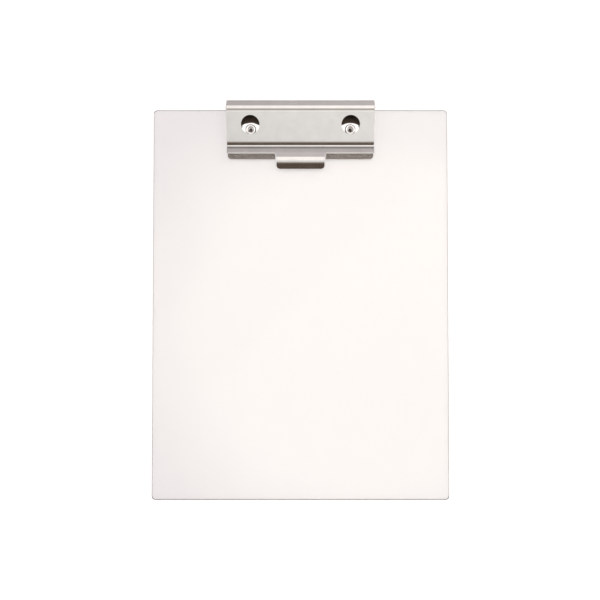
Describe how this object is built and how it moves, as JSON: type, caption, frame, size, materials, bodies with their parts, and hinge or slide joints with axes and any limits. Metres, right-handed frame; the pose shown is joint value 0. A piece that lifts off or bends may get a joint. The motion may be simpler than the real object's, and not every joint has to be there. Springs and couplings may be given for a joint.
{
  "type": "clipboard",
  "caption": "A4 clipboard: clear rigid board with a wide sprung sheet-metal clip riveted along its top edge, lifted by a thumb tab.",
  "frame": {"origin": "under the middle of the whole object, on the surface that the board's back lies on", "axes": "+Z out of the board's front face, +Y along the board towards the clip, +X to the right of someone reading the board with the clip at the top"},
  "size_m": [0.241, 0.324, 0.0149],
  "materials": {
    "clear_board": "clear cast acrylic, polished faces and edges",
    "nickel_cover": "bright satin nickel plate on pressed sheet steel",
    "plated_base": "zinc-plated sheet steel",
    "bright_steel": "bright nickel-plated steel",
    "spring_wire": "oiled spring steel wire"
  },
  "bodies": {
    "board_assembly": {"board": "clear_board", "base_plate": "plated_base", "hinge_pin": "bright_steel", "torsion_spring_left": "spring_wire", "torsion_spring_right": "spring_wire", "rivet_left": "bright_steel", "rivet_right": "bright_steel", "back_washer_left": "plated_base", "back_washer_right": "plated_base"},
    "cover": {"clip_cover": "nickel_cover"}
  },
  "joints": [
    {"name": "cover_hinge", "type": "hinge", "parent": "board_assembly", "child": "cover", "pos_m": [0, 0.1578, 0.0086], "axis": [-1, 0, 0], "range_deg": [0, 45], "stiffness_Nm_per_rad": 0.45, "springref_deg": -45.84, "deforming": ["torsion_spring_left", "torsion_spring_right"]}
  ]
}
